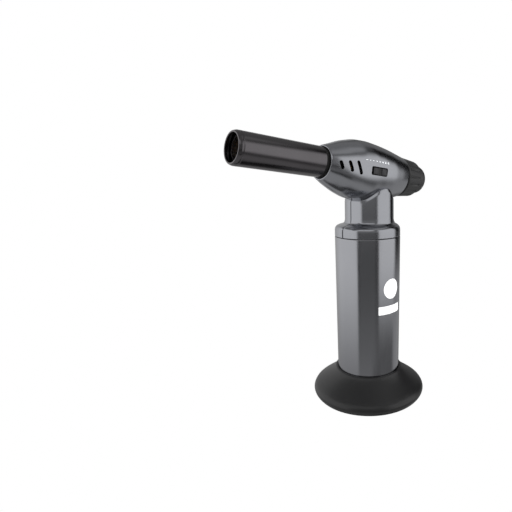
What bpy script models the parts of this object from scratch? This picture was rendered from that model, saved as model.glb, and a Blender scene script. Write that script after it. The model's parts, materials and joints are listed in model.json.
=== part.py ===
"""A hand-held butane torch for jewellery work: a round fuel tank as the grip, standing in a flared base,
under a neck and an egg-shaped head that holds the burner tube, the gas dial and the piezo ignition button.

Lengths are written in millimetres and multiplied by MM. The row frame has its origin at the centre of the
underside of the base, +X towards the burner (along the ground), +Y towards the side with the air slider and
+Z up. Everything in the head hangs on the empty "head_axis", whose +X is the burner's own axis.
"""

import math

import bmesh
import bpy
import numpy as np

MM = 0.001
HALF_SPLIT = 0.15  # half the gap at the parting plane between left and right shells

# Base
BASE_RIM_RADIUS = 50.7
BASE_TOP = 24.3
BASE_FLOOR_TOP = 5.0
SOCKET_RADIUS = 28.6
PAD_RADIUS = 46.0
PAD_THICKNESS = 1.6

# Tank
TANK_BOTTOM = 5.4
TANK_TOP = 145.3
TANK_RADIUS_LOW = 28.15
TANK_RADIUS_HIGH = 30.0
SLEEVE_WALL = 0.9
VESSEL_RADIUS = 26.8
VESSEL_WALL = 1.6
VESSEL_BOTTOM = 8.0
VESSEL_TOP = 140.0
LID_TOP = 144.0

# Neck
COLLAR_BOTTOM = 145.7
NECK_RADIUS = 22.5
NECK_OFFSET_X = -2.4
NECK_STRETCH = 1.06  # the neck is this much longer behind its centre
NECK_WALL = 1.6
SHOULDER_HEIGHT = 154.8
SHOULDER_RISE = 3.6
SADDLE_LOW = 177.8
SADDLE_RISE = 11.5
SADDLE_POWER = 3.2

# Head
HEAD_HEIGHT = 205.7
HEAD_TILT = 0.1114  # radians, burner end up
HEAD_WALL = 1.8
# station along the axis, radius upwards, radius downwards, half width
HEAD_SECTIONS = (
    (-37.0, 16.3, 20.6, 18.5),
    (-35.9, 17.3, 21.9, 19.6),
    (-34.0, 17.7, 22.7, 20.3),
    (-27.4, 19.0, 24.5, 21.7),
    (-14.7, 21.6, 27.7, 23.8),
    (-2.1, 23.4, 29.4, 24.8),
    (10.5, 24.6, 29.6, 25.2),
    (23.2, 24.1, 27.3, 24.3),
    (35.8, 20.9, 23.4, 21.4),
    (46.3, 16.8, 18.9, 17.6),
    (51.6, 14.9, 15.8, 15.2),
    (53.1, 14.3, 14.8, 14.5),
)

# The underside is fuller than an ellipse between the neck and the vents, most of all at this station.
FULL_STATION = 22.0
FULL_REACH = 24.0
FULL_POWER = 0.35

# Burner, stations along the head axis
BURNER_RADIUS = 13.0
BURNER_BORE = 12.0
BURNER_TIP = 131.7
BURNER_MOUTH = 10.8
BURNER_TAIL = 38.0
LINER_RADIUS = 10.2
LINER_BORE = 9.4
MIXER_RADIUS = 4.5
MIXER_BORE = 3.5
ELECTRODE_HEIGHT = 7.2

# Hole under the head for the hose, on the neck's axis
THROAT_RADIUS = 13.5

# Vent slots: station of the slot's middle, height of its middle, length
VENTS = ((44.8, -1.7, 7.4), (37.0, -1.9, 9.6), (29.2, -2.2, 12.0))
VENT_WIDTH = 2.6
VENT_LEAN = 0.38  # radians, top towards the burner

# Air slider and its window, stations along the head axis
WINDOW_MIDDLE = (7.8, -3.1)
WINDOW_SIZE = (19.2, 7.4)
SLIDER_SIZE = (16.4, 6.6)
SLIDER_TRAVEL = 2.2

# Dial and button, on an axis a little under the burner's
KNOB_DROP = 2.1
DIAL_FRONT = -37.9
DIAL_REAR = -57.0
DIAL_RADIUS = 19.1
DIAL_BORE = 15.2
DIAL_LUGS = 16
LUG_REACH = 1.8
BUTTON_RADIUS = 14.3
BUTTON_REAR = -70.4


def clear_scene():
    for old in list(bpy.data.objects):
        bpy.data.objects.remove(old, do_unlink=True)


def make_material(name, colour, metallic, roughness):
    made = bpy.data.materials.new(name)
    made.use_nodes = True
    shader = made.node_tree.nodes["Principled BSDF"]
    shader.inputs["Base Color"].default_value = (*colour, 1.0)
    shader.inputs["Metallic"].default_value = metallic
    shader.inputs["Roughness"].default_value = roughness
    made.diffuse_color = (*colour, 1.0)
    return made


def make_empty(name, location, parent=None, tilt=0.0):
    made = bpy.data.objects.new(name, None)
    made.location = [value * MM for value in location]
    made.rotation_euler = (0.0, -tilt, 0.0)
    made.parent = parent
    bpy.context.scene.collection.objects.link(made)
    return made


def make_object(name, points, faces, look, parent=None, location=(0, 0, 0), sharp_degrees=32):
    """One closed mesh from points in millimetres, with its faces turned to face outwards."""
    mesh = bpy.data.meshes.new(name)
    mesh.from_pydata([[float(value) * MM for value in point] for point in points], [], faces)
    work = bmesh.new()
    work.from_mesh(mesh)
    bmesh.ops.recalc_face_normals(work, faces=work.faces)
    work.to_mesh(mesh)
    work.free()
    if look:
        # A look is (colour, metallic, roughness): each piece has a material of its own.
        mesh.materials.append(make_material(name, *look))
    mesh.shade_smooth()
    mesh.set_sharp_from_angle(angle=math.radians(sharp_degrees))
    made = bpy.data.objects.new(name, mesh)
    made.location = [value * MM for value in location]
    made.parent = parent
    bpy.context.scene.collection.objects.link(made)
    return made


def lathe(name, profile, look, parent=None, along="Z", location=(0, 0, 0), steps=32, lugs=0, lug_depth=0.0):
    """A closed profile of (radius, station) turned about Z or X. Lugs pinch every third column inwards,
    on the profile points whose radius is within LUG_REACH of the largest."""
    points = []
    rings = []
    outside = max(radius for radius, _ in profile) - LUG_REACH
    for radius, station in profile:
        if radius == 0:
            rings.append([len(points)] * steps)
            points.append((0.0, 0.0, station))
            continue
        rings.append(list(range(len(points), len(points) + steps)))
        for step in range(steps):
            angle = math.tau * step / steps
            pinched = lugs and radius > outside and step % 3 == 0
            reach = radius - lug_depth if pinched else radius
            points.append((reach * math.cos(angle), reach * math.sin(angle), station))
    faces = []
    for ring, following in zip(rings, rings[1:] + rings[:1]):
        for step in range(steps):
            after = (step + 1) % steps
            corners = [ring[step], ring[after], following[after], following[step]]
            corners = list(dict.fromkeys(corners))
            if len(corners) > 2:
                faces.append(corners)
    if along == "X":
        points = [(station, across, up) for across, up, station in points]
    return make_object(name, points, faces, look, parent, location)


def shell(name, outer, inner, look, parent=None):
    """A sheet with thickness from two grids of points that match row by row."""
    rows, columns = len(outer), len(outer[0])
    points = [point for row in outer for point in row] + [point for row in inner for point in row]
    inside = rows * columns

    def index(row, column):
        return row * columns + column

    faces = []
    for row in range(rows - 1):
        for column in range(columns - 1):
            quad = [
                index(row, column),
                index(row, column + 1),
                index(row + 1, column + 1),
                index(row + 1, column),
            ]
            faces.append(quad)
            faces.append([corner + inside for corner in reversed(quad)])
    border = [index(0, column) for column in range(columns)]
    border += [index(row, columns - 1) for row in range(1, rows)]
    border += [index(rows - 1, column) for column in range(columns - 2, -1, -1)]
    border += [index(row, 0) for row in range(rows - 2, 0, -1)]
    for here, there in zip(border, border[1:] + border[:1]):
        faces.append([here, there, there + inside, here + inside])
    return make_object(name, points, faces, look, parent)


def sweep(name, path, radius, look, parent=None, bore=0.0, sides=8):
    """A round wire, or a tube when it has a bore, along a path of points."""
    path = np.array(path, float)
    tangents = np.gradient(path, axis=0)
    tangents /= np.linalg.norm(tangents, axis=1)[:, None]
    across = np.cross(tangents[0], (0.3, 1.0, 0.2))
    frames = []
    for tangent in tangents:
        across = across - tangent * (across @ tangent)
        across /= np.linalg.norm(across)
        frames.append((across, np.cross(tangent, across)))
    points = []
    faces = []
    radii = (radius, bore) if bore else (radius,)
    for size in radii:
        for centre, (first, second) in zip(path, frames):
            for side in range(sides):
                angle = math.tau * side / sides
                points.append(centre + size * (first * math.cos(angle) + second * math.sin(angle)))
    layer = len(path) * sides
    for level in range(len(radii)):
        for ring in range(len(path) - 1):
            for side in range(sides):
                start = level * layer + ring * sides
                after = (side + 1) % sides
                faces.append([start + side, start + after, start + sides + after, start + sides + side])
    for ring in (0, len(path) - 1):
        start = ring * sides
        if not bore:
            faces.append([start + side for side in range(sides)])
            continue
        for side in range(sides):
            after = (side + 1) % sides
            faces.append([start + side, start + after, layer + start + after, layer + start + side])
    return make_object(name, points, faces, look, parent)


def smooth_path(knots, per_span=5):
    """Catmull-Rom points through the knots."""
    knots = np.array(knots, float)
    padded = np.vstack([2 * knots[0] - knots[1], knots, 2 * knots[-1] - knots[-2]])
    points = []
    for span in range(len(knots) - 1):
        before, start, end, after = padded[span : span + 4]
        for part in np.arange(per_span) / per_span:
            points.append(
                start
                + 0.5 * part * (end - before)
                + part**2 * (before - 2.5 * start + 2 * end - 0.5 * after)
                + part**3 * (1.5 * start - 0.5 * before - 1.5 * end + 0.5 * after)
            )
    points.append(knots[-1])
    return points


def block(name, low, high, look, parent=None, bevel=0.0, lean=0.0):
    """A box between two corners, with bevelled edges, and leaned about Y around its own middle."""
    low, high = np.array(low, float), np.array(high, float)
    middle, half = (low + high) / 2, (high - low) / 2
    work = bmesh.new()
    bmesh.ops.create_cube(work, size=2.0)
    for vertex in work.verts:
        vertex.co = [vertex.co[axis] * half[axis] for axis in range(3)]
    if bevel:
        bmesh.ops.bevel(
            work,
            geom=list(work.edges),
            offset=bevel,
            segments=2,
            profile=0.5,
            affect="EDGES",
            clamp_overlap=True,
        )
    work.verts.index_update()
    points = [tuple(vertex.co) for vertex in work.verts]
    faces = [[vertex.index for vertex in face.verts] for face in work.faces]
    work.free()
    made = make_object(name, points, faces, look, parent, middle)
    made.rotation_euler = (0.0, lean, 0.0)
    return made


def slot_cutter(name, station, height, length, width, lean, y_low, y_high, parent):
    """A slot with round ends, running through the wall along Y."""
    outline = []
    for end, start in ((1, 0.0), (-1, math.pi)):
        for step in range(7):
            angle = start + math.pi * step / 6
            across = math.cos(angle) * width / 2
            along = end * (length - width) / 2 + math.sin(angle) * width / 2
            outline.append((across, along))
    points = [(across, y_low, along) for across, along in outline]
    points += [(across, y_high, along) for across, along in outline]
    count = len(outline)
    faces = [list(range(count)), list(range(count, 2 * count))]
    for here in range(count):
        after = (here + 1) % count
        faces.append([here, after, after + count, here + count])
    made = make_object(name, points, faces, None, parent, (station, 0, height))
    made.rotation_euler = (0.0, lean, 0.0)
    return made


def combine(target, tool, operation="DIFFERENCE", solver="EXACT"):
    tool.hide_render = True
    tool.display_type = "WIRE"
    modifier = target.modifiers.new(f"{operation.lower()}_{tool.name}", "BOOLEAN")
    modifier.operation = operation
    modifier.solver = solver
    modifier.object = tool


def rod_along_y(name, station, height, radius, y_low, y_high, parent, look=None, steps=14):
    """A round rod parallel to Y, for posts, screws and the holes they need."""
    points = []
    for across in (y_low, y_high):
        for step in range(steps):
            angle = math.tau * step / steps
            points.append((radius * math.cos(angle), across, radius * math.sin(angle)))
    faces = [list(range(steps)), list(range(steps, 2 * steps))]
    for step in range(steps):
        after = (step + 1) % steps
        faces.append([step, after, after + steps, step + steps])
    return make_object(name, points, faces, look, parent, (station, 0, height))


def head_section(station, inset=0.0):
    """Radius upwards, radius downwards and half width of the head at a station, less an inset."""
    table = np.array(HEAD_SECTIONS)
    return [float(np.interp(station, table[:, 0], table[:, column])) - inset for column in (1, 2, 3)]


clear_scene()

GUNMETAL = ((0.30, 0.31, 0.32), 0.85, 0.34)
BLACK_PLASTIC = ((0.018, 0.018, 0.019), 0.0, 0.42)
CHARCOAL = ((0.035, 0.035, 0.036), 0.0, 0.5)
STEEL = ((0.55, 0.55, 0.56), 1.0, 0.3)
BURNT_STEEL = ((0.075, 0.068, 0.066), 0.9, 0.28)
BRASS = ((0.72, 0.52, 0.22), 1.0, 0.3)
WHITE_PLASTIC = ((0.75, 0.75, 0.72), 0.0, 0.45)
RUBBER = ((0.02, 0.02, 0.02), 0.0, 0.75)
CERAMIC = ((0.82, 0.80, 0.74), 0.0, 0.35)
RED_PLASTIC = ((0.45, 0.03, 0.02), 0.0, 0.4)
FELT = ((0.78, 0.76, 0.70), 0.0, 0.9)

head_axis = make_empty("head_axis", (0, 0, HEAD_HEIGHT), tilt=HEAD_TILT)
knob_axis = make_empty("knob_axis", (0, 0, -KNOB_DROP), head_axis)

# ---------------------------------------------------------------- base
lathe(
    "base_stand",
    [
        (0, 1.9), (PAD_RADIUS + 0.4, 1.9), (PAD_RADIUS + 0.4, 0.3), (47.6, 0.3), (48.8, 1.0),
        (49.9, 2.6), (BASE_RIM_RADIUS, 4.6), (50.4, 6.6), (49.2, 8.5), (47.0, 10.5), (42.0, 13.8),
        (37.6, 16.8), (34.0, 19.6), (31.4, 22.3), (30.1, BASE_TOP), (SOCKET_RADIUS, BASE_TOP),
        (SOCKET_RADIUS, BASE_FLOOR_TOP), (0, BASE_FLOOR_TOP),
    ],
    BLACK_PLASTIC,
    steps=40,
)
lathe(
    "base_pad",
    [(0, 0), (PAD_RADIUS - 0.5, 0), (PAD_RADIUS, 0.5), (PAD_RADIUS, PAD_THICKNESS), (0, PAD_THICKNESS)],
    RUBBER,
    steps=32,
)

# ---------------------------------------------------------------- tank
lathe(
    "tank_sleeve",
    [
        (TANK_RADIUS_LOW - 0.6, TANK_BOTTOM), (TANK_RADIUS_LOW, TANK_BOTTOM + 0.6),
        (TANK_RADIUS_LOW, BASE_TOP), (TANK_RADIUS_HIGH, TANK_TOP - 0.3), (TANK_RADIUS_HIGH - 0.3, TANK_TOP),
        (TANK_RADIUS_HIGH - SLEEVE_WALL, TANK_TOP), (TANK_RADIUS_LOW - SLEEVE_WALL, BASE_TOP),
        (TANK_RADIUS_LOW - SLEEVE_WALL, TANK_BOTTOM),
    ],
    GUNMETAL,
    steps=40,
)
lathe(
    "tank_bottom_cap",
    [(9.0, 5.4), (26.5, 5.4), (26.9, 5.8), (26.9, 7.6), (9.0, 7.6)],
    BLACK_PLASTIC,
    steps=32,
)
lathe(
    "fuel_tank",
    [
        (4.2, VESSEL_BOTTOM), (VESSEL_RADIUS, VESSEL_BOTTOM), (VESSEL_RADIUS, VESSEL_TOP),
        (VESSEL_RADIUS - VESSEL_WALL, VESSEL_TOP),
        (VESSEL_RADIUS - VESSEL_WALL, VESSEL_BOTTOM + VESSEL_WALL),
        (4.2, VESSEL_BOTTOM + VESSEL_WALL),
    ],
    WHITE_PLASTIC,
    steps=32,
)
lathe(
    "tank_lid",
    [(5.3, 136.0), (22.8, 136.0), (22.8, 140.3), (26.7, 140.3), (26.7, LID_TOP), (5.3, LID_TOP)],
    WHITE_PLASTIC,
    steps=32,
)
lathe(
    "lid_seal",
    [
        (24.0 + 0.85 * math.cos(turn), 138.2 + 0.85 * math.sin(turn))
        for turn in np.linspace(0, math.tau, 6)[:-1]
    ],
    RUBBER,
    steps=28,
)
sweep("fuel_wick", [(0, 0, 24.0), (0, 0, 80.0), (0, 0, 131.6)], 2.0, FELT, sides=8)

# Fill valve, in the bottom of the tank
lathe(
    "fill_valve_body",
    [
        (1.3, 5.7), (8.2, 5.7), (8.2, 7.6), (3.9, 7.6), (3.9, 18.8), (1.2, 18.8), (1.2, 17.7), (2.9, 17.7),
        (2.9, 9.0), (1.3, 9.0),
    ],
    BRASS,
    steps=18,
)
lathe(
    "fill_valve_stem",
    [(0, 5.8), (0.95, 5.8), (0.95, 10.7), (2.5, 10.7), (2.5, 11.5), (1.0, 11.5), (1.0, 13.4), (0, 13.4)],
    BRASS,
    steps=16,
)
lathe("fill_valve_seal", [(1.25, 9.4), (2.5, 9.4), (2.5, 10.4), (1.25, 10.4)], RUBBER, steps=16)
SPRING_TURNS = 4
sweep(
    "fill_valve_spring",
    [
        (1.95 * math.cos(turn), 1.95 * math.sin(turn), 12.2 + 4.8 * turn / (math.tau * SPRING_TURNS))
        for turn in np.linspace(0, math.tau * SPRING_TURNS, SPRING_TURNS * 9 + 1)
    ],
    0.34,
    STEEL,
    sides=5,
)

# Outlet valve, through the lid, and the hose up to the gas valve
lathe(
    "outlet_valve_body",
    [
        (1.5, 132.0), (5.0, 132.0), (5.0, 144.3), (7.5, 144.3), (7.5, 147.0), (3.4, 147.0),
        (3.4, 149.6), (1.5, 149.6),
    ],
    BRASS,
    steps=18,
)
lathe("outlet_valve_nut", [(6.2, 132.6), (8.6, 132.6), (8.6, 135.7), (6.2, 135.7)], BRASS, steps=6)
HOSE_PATH = smooth_path(
    [(0, 0, 149.9), (0, 0, 158.0), (-2.5, 0, 168.0), (-5.0, 0, 178.0), (-5.0, 0, 184.5)],
    2,
)
sweep("gas_hose", HOSE_PATH, 2.2, RUBBER, bore=1.2, sides=8)
lathe("hose_ferrule_lower", [(2.7, 150.6), (3.5, 150.6), (3.5, 155.4), (2.7, 155.4)], STEEL, steps=16)
lathe(
    "hose_ferrule_upper",
    [(2.7, 179.6), (3.5, 179.6), (3.5, 183.6), (2.7, 183.6)],
    STEEL,
    location=(-5.0, 0, 0),
    steps=16,
)

# ---------------------------------------------------------------- neck
# height, outer radius
NECK_ROWS = (
    (COLLAR_BOTTOM, 29.7), (COLLAR_BOTTOM + 0.4, 30.0), (151.0, 30.0), (153.4, 29.3), (155.2, 27.9),
    (156.3, 26.0), (157.0, 24.2), (158.4, 23.1), (161.0, NECK_RADIUS), (168.0, NECK_RADIUS),
)
NECK_STEPS = 15


def neck_row(height, radius, angles):
    """Points round the neck at one height, its centre moving back as it leaves the collar."""
    leave = min(max((height - SHOULDER_HEIGHT) / SHOULDER_RISE, 0.0), 1.0)
    leave *= leave * (3 - 2 * leave)
    row = []
    for angle in angles:
        stretch = 1 + (NECK_STRETCH - 1) * leave if math.cos(angle) < 0 else 1.0
        x = NECK_OFFSET_X * leave + radius * stretch * math.cos(angle)
        row.append((x, radius * math.sin(angle), height))
    return row


def saddle_row(radius, angles, drop):
    """The neck's top edge, which rises at both sides to cradle the head."""
    row = []
    for angle in angles:
        height = SADDLE_LOW - drop + SADDLE_RISE * abs(math.sin(angle)) ** SADDLE_POWER
        stretch = NECK_STRETCH if math.cos(angle) < 0 else 1.0
        row.append((NECK_OFFSET_X + radius * stretch * math.cos(angle), radius * math.sin(angle), height))
    return row


def make_neck_half(name, side):
    """One half of the collar and neck; side is +1 for left, -1 for right."""
    first = math.asin(HALF_SPLIT / NECK_RADIUS)
    angles = [side * angle for angle in np.linspace(first, math.pi - first, NECK_STEPS)]
    outer = [neck_row(height, radius, angles) for height, radius in NECK_ROWS]
    outer += [saddle_row(NECK_RADIUS, angles, drop) for drop in (4.0, 0.6)]
    outer += [saddle_row(NECK_RADIUS - 0.5, angles, 0.0)]
    inner = [neck_row(height, min(radius, 29.4) - NECK_WALL, angles) for height, radius in NECK_ROWS]
    inner += [saddle_row(NECK_RADIUS - NECK_WALL, angles, drop) for drop in (4.0, 0.6)]
    inner += [saddle_row(NECK_RADIUS - 1.3, angles, 0.0)]
    # The inner grid's parting edge is set to the same plane as the outer one.
    for grid in (outer, inner):
        for row in grid:
            for column in (0, -1):
                row[column] = (row[column][0], side * HALF_SPLIT, row[column][2])
    return shell(name, outer, inner, GUNMETAL)


neck_left = make_neck_half("neck_shell_left", 1)
neck_right = make_neck_half("neck_shell_right", -1)

# ---------------------------------------------------------------- head
HEAD_STEPS = 14
HEAD_STATIONS = (
    -37.0, -35.9, -34.0, -27.4, -18.0, -8.4, 1.0, 10.5, 20.0, 28.0, 35.8, 43.0, 49.2, 53.1,
)


def smooth_section(station, inset):
    """Section sizes between the table's stations, rounded by averaging three samples."""
    samples = np.array([head_section(station + step, inset) for step in (-2.0, 0.0, 2.0)])
    inside = HEAD_SECTIONS[2][0] < station < 49.0
    return samples.mean(axis=0) if inside else samples[1]


def underside_power(station):
    """Exponent of the outline under the head: 2 for an ellipse, more where it is fuller."""
    part = min(abs(station - FULL_STATION) / FULL_REACH, 1.0)
    return 2.0 + FULL_POWER * (0.5 + 0.5 * math.cos(math.pi * part))


def head_row(station, inset, side):
    up, down, half = smooth_section(station, inset)
    first = math.asin(HALF_SPLIT / half)
    row = []
    for angle in np.linspace(first, math.pi - first, HEAD_STEPS):
        if angle < math.pi / 2:
            across, vertical = math.sin(angle), up * math.cos(angle)
        else:
            bend = 2.0 / underside_power(station)
            across, vertical = math.sin(angle) ** bend, -down * abs(math.cos(angle)) ** bend
        row.append((station, side * half * across, vertical))
    row[0] = (station, side * HALF_SPLIT, row[0][2])
    row[-1] = (station, side * HALF_SPLIT, row[-1][2])
    return row


def make_head_half(name, side):
    outer = [head_row(station, 0.0, side) for station in HEAD_STATIONS]
    inner = [head_row(station, 1.0 if station > 50.0 else HEAD_WALL, side) for station in HEAD_STATIONS]
    return shell(name, outer, inner, GUNMETAL, head_axis)


head_left = make_head_half("head_shell_left", 1)
head_right = make_head_half("head_shell_right", -1)

throat = lathe(
    "throat_cutter",
    [(0, 170.0), (THROAT_RADIUS, 170.0), (THROAT_RADIUS, 190.0), (0, 190.0)],
    None,
    location=(NECK_OFFSET_X, 0, 0),
)
combine(head_left, throat)
combine(head_right, throat)
for number, (station, height, length) in enumerate(VENTS, start=1):
    for side, target in ((1, head_left), (-1, head_right)):
        ends = sorted((side * 12.0, side * 28.0))
        slot = slot_cutter(
            f"vent_cutter_{number}_{'left' if side > 0 else 'right'}",
            station, height, length, VENT_WIDTH, VENT_LEAN, ends[0], ends[1], head_axis,
        )
        combine(target, slot)
window_low = (WINDOW_MIDDLE[0] - WINDOW_SIZE[0] / 2, 19.0, WINDOW_MIDDLE[1] - WINDOW_SIZE[1] / 2)
window_high = (WINDOW_MIDDLE[0] + WINDOW_SIZE[0] / 2, 28.0, WINDOW_MIDDLE[1] + WINDOW_SIZE[1] / 2)
combine(head_left, block("window_cutter", window_low, window_high, None, head_axis))


def fasten(label, station, height, reach, left, right, parent):
    """A screw from the right shell into a post on the left one. The posts end inside the walls."""
    posts = (
        (left, rod_along_y(f"{label}_post_left", station, height, 3.2, 0.4, reach, parent)),
        (right, rod_along_y(f"{label}_post_right", station, height, 3.6, -reach, -0.4, parent)),
    )
    for target, post in posts:
        combine(target, post, "UNION")
    combine(left, rod_along_y(f"{label}_pilot", station, height, 1.5, -1.0, 9.0, parent))
    combine(right, rod_along_y(f"{label}_clearance", station, height, 1.7, -reach - 8.0, 1.0, parent))
    combine(right, rod_along_y(f"{label}_counterbore", station, height, 2.7, -reach - 8.0, -8.0, parent))
    screw = rod_along_y(label, station, height, 1.2, -9.0, 8.0, parent, STEEL, 12)
    combine(screw, rod_along_y(f"{label}_head", station, height, 2.3, -10.2, -8.4, parent), "UNION")


fasten("head_screw_front", 25.0, 15.5, 14.2, head_left, head_right, head_axis)
fasten("head_screw_rear", -24.0, 11.0, 13.2, head_left, head_right, head_axis)
fasten("neck_screw_front", 10.7, 168.0, 14.6, neck_left, neck_right, None)
fasten("neck_screw_rear", -15.6, 168.0, 14.9, neck_left, neck_right, None)

# ---------------------------------------------------------------- burner
lathe(
    "burner_tube",
    [
        (BURNER_RADIUS, 40.0), (BURNER_RADIUS, 129.2), (12.5, 131.2), (12.0, BURNER_TIP),
        (BURNER_MOUTH, BURNER_TIP), (BURNER_MOUTH, 130.2), (BURNER_BORE, 129.4), (BURNER_BORE, BURNER_TAIL),
        (15.0, BURNER_TAIL), (15.0, 40.0),
    ],
    BURNT_STEEL,
    head_axis,
    "X",
    steps=36,
)
lathe(
    "burner_liner",
    [(LINER_RADIUS, 62.0), (LINER_RADIUS, 127.0), (LINER_BORE, 127.0), (LINER_BORE, 62.0)],
    STEEL,
    head_axis,
    "X",
    steps=28,
)
holder = lathe(
    "flame_holder",
    [(4.85, 108.0), (9.1, 108.0), (9.1, 111.0), (4.85, 111.0)],
    BRASS,
    head_axis,
    "X",
    steps=28,
)
for number in range(8):
    turn = math.tau * number / 8 + math.pi / 2
    hole_radius = 1.85 if number == 0 else 0.9
    reach = ELECTRODE_HEIGHT if number == 0 else 6.9
    centre = (0, reach * math.cos(turn), reach * math.sin(turn))
    hole = lathe(
        f"flame_hole_{number}",
        [(0, 105.0), (hole_radius, 105.0), (hole_radius, 114.0), (0, 114.0)],
        None,
        head_axis,
        "X",
        centre,
        8,
    )
    combine(holder, hole, solver="MANIFOLD")
mixer = lathe(
    "mixing_tube",
    [(MIXER_RADIUS, 7.0), (MIXER_RADIUS, 113.0), (MIXER_BORE, 113.0), (MIXER_BORE, 7.0)],
    BRASS,
    head_axis,
    "X",
    steps=20,
)
combine(mixer, rod_along_y("air_hole_cutter", 11.3, 0.0, 1.2, -6.0, 6.0, head_axis, steps=8))
lathe(
    "air_shutter",
    [
        (4.85, 10.2), (6.8, 10.2), (6.8, 12.4), (6.0, 12.4), (6.0, 16.0), (6.8, 16.0), (6.8, 18.2),
        (4.85, 18.2),
    ],
    STEEL,
    head_axis,
    "X",
    steps=20,
)
lathe(
    "gas_jet",
    [(0.7, 1.3), (4.6, 1.3), (4.6, 6.4), (2.6, 6.4), (1.8, 9.5), (0.7, 9.5)],
    BRASS,
    head_axis,
    "X",
    steps=18,
)
sweep(
    "electrode_insulator",
    [(58.0, 0, ELECTRODE_HEIGHT), (85.0, 0, ELECTRODE_HEIGHT), (114.0, 0, ELECTRODE_HEIGHT)],
    1.5,
    CERAMIC,
    head_axis,
    bore=0.8,
    sides=10,
)
sweep(
    "electrode_wire",
    smooth_path(
        [
            (60.0, 0, ELECTRODE_HEIGHT), (90.0, 0, ELECTRODE_HEIGHT), (116.0, 0, ELECTRODE_HEIGHT),
            (119.5, 0, 6.2), (120.5, 0, 3.6),
        ],
        2,
    ),
    0.4,
    STEEL,
    head_axis,
    sides=6,
)
sweep(
    "igniter_lead",
    smooth_path(
        [
            (-11.8, 0, 0.5), (-10.3, 0, 3.2), (-8.5, 0, 7.4), (-1.0, 0, 9.4), (30.0, 0, 9.2),
            (48.0, 0, 7.6), (57.5, 0, ELECTRODE_HEIGHT),
        ],
        3,
    ),
    0.8,
    RED_PLASTIC,
    head_axis,
    sides=6,
)

# ---------------------------------------------------------------- gas valve
valve = block("gas_valve_body", (-8.0, -6.0, -19.0), (1.0, 6.0, 5.2), BRASS, head_axis, 0.8)
NEEDLE_HEIGHT = -12.5
needle_bore = lathe(
    "needle_bore_cutter",
    [(0, -10.0), (1.95, -10.0), (1.95, -1.5), (0, -1.5)],
    None,
    head_axis,
    "X",
    (0, 0, NEEDLE_HEIGHT),
    12,
)
combine(valve, needle_bore)
gas_way = lathe(
    "gas_way_cutter",
    [(0, -10.0), (0.8, -10.0), (0.8, 3.0), (0, 3.0)],
    None,
    head_axis,
    "X",
    steps=8,
)
combine(valve, gas_way)
# The needle's head stays clear of the dial's disc when the needle is drawn all the way back.
lathe(
    "valve_needle",
    [(0, -4.0), (1.6, -6.5), (1.6, -29.5), (3.0, -29.5), (3.0, -31.8), (0, -31.8)],
    STEEL,
    head_axis,
    "X",
    (0, 0, NEEDLE_HEIGHT),
    12,
)

# ---------------------------------------------------------------- dial, button and igniter
lathe(
    "dial_ring",
    [
        (18.2, DIAL_FRONT), (DIAL_RADIUS, DIAL_FRONT - 1.4), (17.6, DIAL_REAR + 1.0), (16.8, DIAL_REAR),
        (DIAL_BORE, DIAL_REAR), (DIAL_BORE, -46.0), (3.2, -46.0), (3.2, -34.0), (14.0, -34.0), (14.0, -36.0),
        (5.4, -36.0), (5.4, -43.4), (15.4, -43.4), (15.4, DIAL_FRONT),
    ],
    CHARCOAL,
    knob_axis,
    "X",
    steps=3 * DIAL_LUGS,
    lugs=DIAL_LUGS,
    lug_depth=0.7,
)
lathe(
    "button_cap",
    [
        (0, BUTTON_REAR), (7.2, BUTTON_REAR + 0.3), (11.4, -69.3), (13.4, -67.5), (14.2, -64.6),
        (BUTTON_RADIUS, -53.0), (12.9, -53.0), (12.7, -62.0), (2.7, -63.6), (2.7, -36.4), (0, -36.4),
    ],
    BLACK_PLASTIC,
    knob_axis,
    "X",
    steps=32,
)
igniter = block("piezo_body", (-30.0, -4.6, -4.6), (-13.2, 4.6, 4.6), BLACK_PLASTIC, knob_axis, 0.7)
plunger_bore = lathe(
    "plunger_bore_cutter",
    [(0, -32.0), (2.8, -32.0), (2.8, -18.4), (0, -18.4)],
    None,
    knob_axis,
    "X",
    steps=14,
)
combine(igniter, plunger_bore)
lathe(
    "piezo_plunger",
    [(0, -36.1), (2.4, -36.1), (2.4, -25.0), (0, -25.0)],
    WHITE_PLASTIC,
    knob_axis,
    "X",
    steps=14,
)

# ---------------------------------------------------------------- air slider
SLIDER_REST = WINDOW_MIDDLE[0] - SLIDER_TRAVEL / 2
slider = block(
    "air_slider",
    (SLIDER_REST - SLIDER_SIZE[0] / 2, 18.6, WINDOW_MIDDLE[1] - SLIDER_SIZE[1] / 2),
    (SLIDER_REST + SLIDER_SIZE[0] / 2, 24.9, WINDOW_MIDDLE[1] + SLIDER_SIZE[1] / 2),
    BLACK_PLASTIC,
    head_axis,
    0.5,
)
plate = block(
    "slider_plate",
    (SLIDER_REST - 9.4, 17.4, WINDOW_MIDDLE[1] - 4.6),
    (SLIDER_REST + 9.4, 19.2, WINDOW_MIDDLE[1] + 4.6),
    None,
    head_axis,
)
combine(slider, plate, "UNION")
combine(slider, block("slider_arm", (12.8, 6.35, -1.1), (15.6, 18.4, 1.1), None, head_axis), "UNION")
combine(slider, block("slider_dip", (3.6, 23.9, -6.2), (8.0, 27.0, 0.0), None, head_axis))
for number in range(6):
    station = SLIDER_REST - 7.0 + 1.7 * number + (4.6 if number > 2 else 0.0)
    groove_low, groove_high = (station, 24.3, -6.8), (station + 0.6, 27.0, 0.6)
    combine(slider, block(f"slider_groove_{number}", groove_low, groove_high, None, head_axis))
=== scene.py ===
"""Studio picture of the hand-held butane torch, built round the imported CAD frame.

The torch's lengths are written in millimetres and multiplied by MM, and the studio's are in metres. The
frame has +X towards the burner, +Y towards the side with the air slider and +Z up. Pieces in the head are
made along the burner's axis and tilted into place.
"""

import json
import math

import bmesh
import bpy
import numpy as np
from mathutils import Matrix, Vector

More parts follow.
